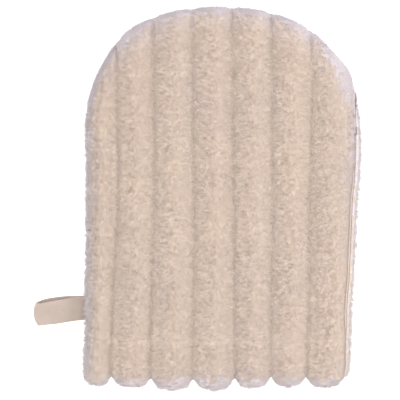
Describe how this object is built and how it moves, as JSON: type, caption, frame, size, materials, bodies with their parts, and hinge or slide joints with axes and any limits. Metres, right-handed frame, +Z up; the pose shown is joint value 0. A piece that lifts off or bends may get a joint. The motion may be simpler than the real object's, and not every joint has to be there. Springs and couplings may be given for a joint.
{
  "type": "wash mitt",
  "caption": "Flat ribbed plush wash mitt with an arched fingertip end, an open turned-up cuff and a folded tape hanging loop in the side seam.",
  "frame": {"origin": "middle of the flattened underside, in the middle of the mitt's length, on the plane it rests on", "axes": "+Y towards the closed fingertip end, +Z up away from the resting surface, +X to the right with the loop on the left"},
  "size_m": [0.187, 0.22, 0.0304],
  "materials": {
    "plush_pile": "soft cut pile in tufted ribs",
    "knit_ground": "fine warp knit, matt",
    "loop_tape": "smooth folded tape with a light fuzz",
    "sewing_thread": "spun polyester thread"
  },
  "bodies": {
    "back": {"back_ground_knit": "knit_ground", "back_rib_1": "plush_pile", "back_rib_2": "plush_pile", "back_rib_3": "plush_pile", "back_rib_4": "plush_pile", "back_rib_5": "plush_pile", "back_rib_6": "plush_pile", "back_rib_7": "plush_pile", "back_hem": "plush_pile", "back_hem_stitch": "sewing_thread", "seam_overlock": "sewing_thread", "loop_tails": "loop_tape", "loop_bartack": "sewing_thread"},
    "front": {"front_ground_knit": "knit_ground", "front_rib_1": "plush_pile", "front_rib_2": "plush_pile", "front_rib_3": "plush_pile", "front_rib_4": "plush_pile", "front_rib_5": "plush_pile", "front_rib_6": "plush_pile", "front_rib_7": "plush_pile", "front_hem": "plush_pile", "front_hem_stitch": "sewing_thread"},
    "loop": {"hanging_loop": "loop_tape"}
  },
  "joints": [
    {"name": "mouth_open", "type": "hinge", "parent": "back", "child": "front", "pos_m": [0, 0.11, 0.0152], "axis": [-1, 0, 0], "range_deg": [0, 12]},
    {"name": "loop_flap", "type": "hinge", "parent": "back", "child": "loop", "pos_m": [-0.0812, -0.0633, 0.0152], "axis": [0, 1, 0], "range_deg": [-75, 75], "stiffness_Nm_per_rad": 0.003}
  ]
}
